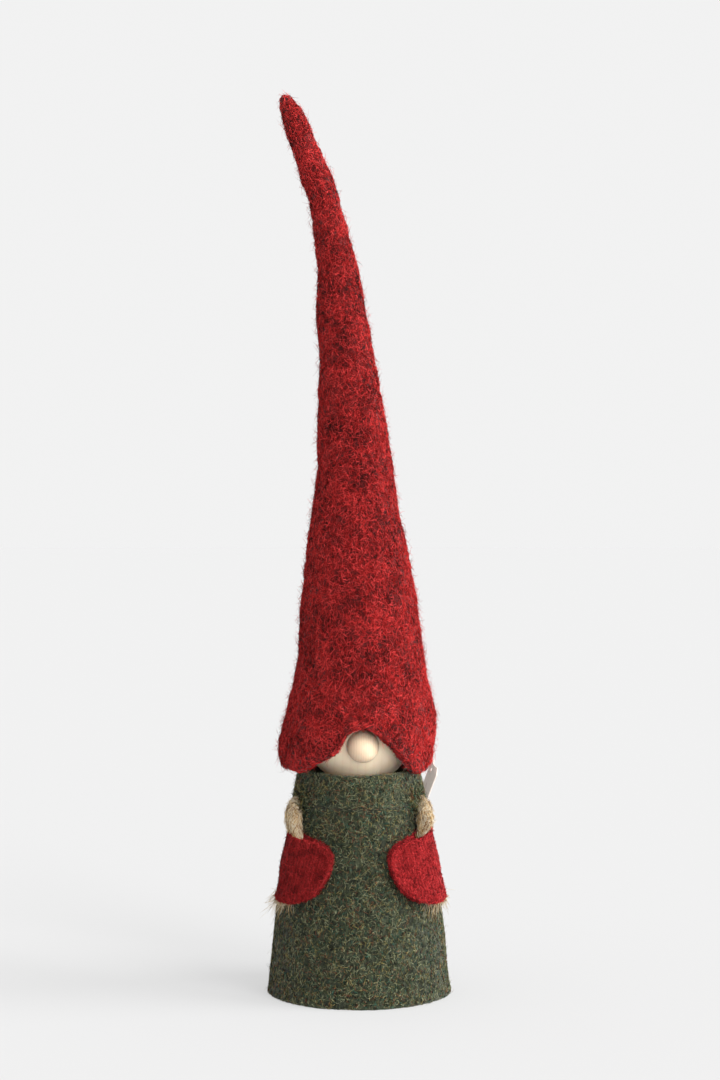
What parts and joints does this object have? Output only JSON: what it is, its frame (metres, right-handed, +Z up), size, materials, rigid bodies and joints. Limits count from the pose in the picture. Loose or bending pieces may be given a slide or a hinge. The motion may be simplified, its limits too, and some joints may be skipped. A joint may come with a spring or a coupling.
{
  "type": "tomte gnome figurine",
  "caption": "Standing folk gnome: cloth-covered wooden cone, wooden ball head with bead nose, rope arms in cloth mittens and a tall felt hat that lifts off.",
  "frame": {"origin": "centre of the round base, on the surface the figure stands on", "axes": "+Z up, the figure faces -Y, +X is to the right of someone who looks at its face"},
  "size_m": [0.06, 0.06, 0.2985],
  "materials": {
    "turned_wood": "sanded, bare",
    "pale_wood": "sanded smooth, bare",
    "coat_cloth": "fulled wool tweed",
    "jute_rope": "loose jute fibre",
    "mitten_cloth": "wool cloth",
    "red_felt": "hairy wet-felted wool",
    "tag_paper": "uncoated",
    "tag_thread": "twisted cotton"
  },
  "bodies": {
    "body": {"body_core": "turned_wood", "body_cloth": "coat_cloth", "collar_band": "coat_cloth", "neck_dowel": "turned_wood", "head_ball": "pale_wood", "nose": "pale_wood", "nose_peg": "turned_wood", "shoulder_rope": "jute_rope", "hang_tag": "tag_paper", "tag_thread": "tag_thread"},
    "hat": {"hat": "red_felt"},
    "left_arm": {"left_arm_rope": "jute_rope", "left_mitten": "mitten_cloth"},
    "right_arm": {"right_arm_rope": "jute_rope", "right_mitten": "mitten_cloth"}
  },
  "joints": [
    {"name": "hat_lift", "type": "slide", "parent": "body", "child": "hat", "axis": [0, 0, 1], "range_m": [0, 0.07]},
    {"name": "left_arm_raise", "type": "hinge", "parent": "body", "child": "left_arm", "pos_m": [-0.02108, -0.01369, 0.0636], "axis": [0, 1, 0], "range_deg": [0, 70]},
    {"name": "right_arm_raise", "type": "hinge", "parent": "body", "child": "right_arm", "pos_m": [0.02108, -0.01369, 0.0636], "axis": [0, -1, 0], "range_deg": [0, 70]}
  ]
}
